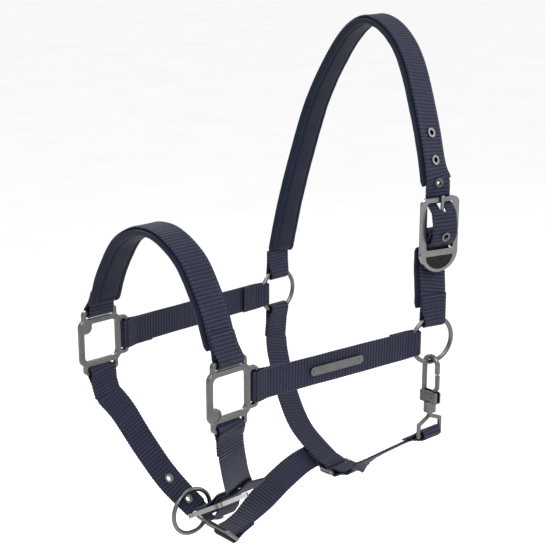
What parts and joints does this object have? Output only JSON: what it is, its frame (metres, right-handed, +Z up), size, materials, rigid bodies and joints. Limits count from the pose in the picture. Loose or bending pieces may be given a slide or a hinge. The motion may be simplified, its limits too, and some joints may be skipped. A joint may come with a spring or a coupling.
{
  "type": "head halter",
  "caption": "Padded webbing horse head halter with square and round rings, buckled crown and chin straps, a lead ring and a throat snap.",
  "frame": {"origin": "midway between the two upper rings, on the halter's mid-plane", "axes": "+Z up towards the crown, -X towards the nose, -Y to the near side, which carries the buckle and the snap"},
  "size_m": [0.2909, 0.2171, 0.4529],
  "materials": {
    "webbing": "ribbed woven nylon",
    "lining": "smooth padded synthetic",
    "pewter": "satin gunmetal plating",
    "dark_inlay": "satin black enamel",
    "spring_steel": "plain"
  },
  "bodies": {
    "straps": {"nose_strap": "webbing", "near_cheek_strap": "webbing", "far_cheek_strap": "webbing", "crown_strap": "webbing", "buckle_strap": "webbing", "throat_strap": "webbing", "snap_strap": "webbing", "jaw_strap": "webbing", "near_chin_strap": "webbing", "far_chin_strap": "webbing", "nose_padding": "lining", "crown_padding": "lining", "buckle_strap_padding": "lining", "near_square": "pewter", "far_square": "pewter", "crown_buckle_frame": "pewter", "chin_buckle_frame": "pewter", "junction_loop": "pewter", "swivel_eye": "pewter", "crown_eyelets": "pewter", "chin_eyelets": "pewter", "name_plate": "pewter", "name_plate_rivets": "pewter", "crown_buckle_inlay": "dark_inlay"},
    "near_ring": {"near_ring": "pewter"},
    "far_ring": {"far_ring": "pewter"},
    "lead_ring": {"lead_ring": "pewter"},
    "crown_tongue": {"crown_buckle_tongue": "pewter"},
    "chin_tongue": {"chin_buckle_tongue": "pewter"},
    "chin_loop": {"chin_loop": "pewter"},
    "snap": {"snap_hook": "pewter", "snap_gate_pin": "spring_steel", "snap_gate_spring": "spring_steel"},
    "snap_gate": {"snap_gate": "pewter"}
  },
  "joints": [
    {"name": "near_ring_turn", "type": "hinge", "parent": "straps", "child": "near_ring", "pos_m": [0, -0.1, 0], "axis": [-0.2419, -0.9703, 0], "continuous": true},
    {"name": "far_ring_turn", "type": "hinge", "parent": "straps", "child": "far_ring", "pos_m": [0, 0.1, 0], "axis": [0, 1, 0], "continuous": true},
    {"name": "lead_ring_turn", "type": "hinge", "parent": "straps", "child": "lead_ring", "pos_m": [-0.173, 0.024, -0.153], "axis": [0, 1, 0], "continuous": true},
    {"name": "crown_tongue_lift", "type": "hinge", "parent": "straps", "child": "crown_tongue", "pos_m": [0.006, -0.0985, 0.097], "axis": [0.9703, -0.2419, 0], "range_deg": [0, 5]},
    {"name": "chin_tongue_lift", "type": "hinge", "parent": "straps", "child": "chin_tongue", "pos_m": [-0.167, -0.005, -0.139], "axis": [-1, 0, 0], "range_deg": [0, 5]},
    {"name": "chin_loop_swing", "type": "hinge", "parent": "straps", "child": "chin_loop", "pos_m": [-0.151, 0.008, -0.175], "axis": [0, 1, 0], "range_deg": [-5, 5]},
    {"name": "snap_swivel", "type": "hinge", "parent": "straps", "child": "snap", "pos_m": [0, -0.1006, -0.067], "axis": [0, 0, 1], "range_deg": [-10, 10]},
    {"name": "snap_gate_open", "type": "hinge", "parent": "snap", "child": "snap_gate", "pos_m": [0, -0.1036, -0.053], "axis": [-1, 0, 0], "range_deg": [0, 16], "stiffness_Nm_per_rad": 0.05}
  ]
}
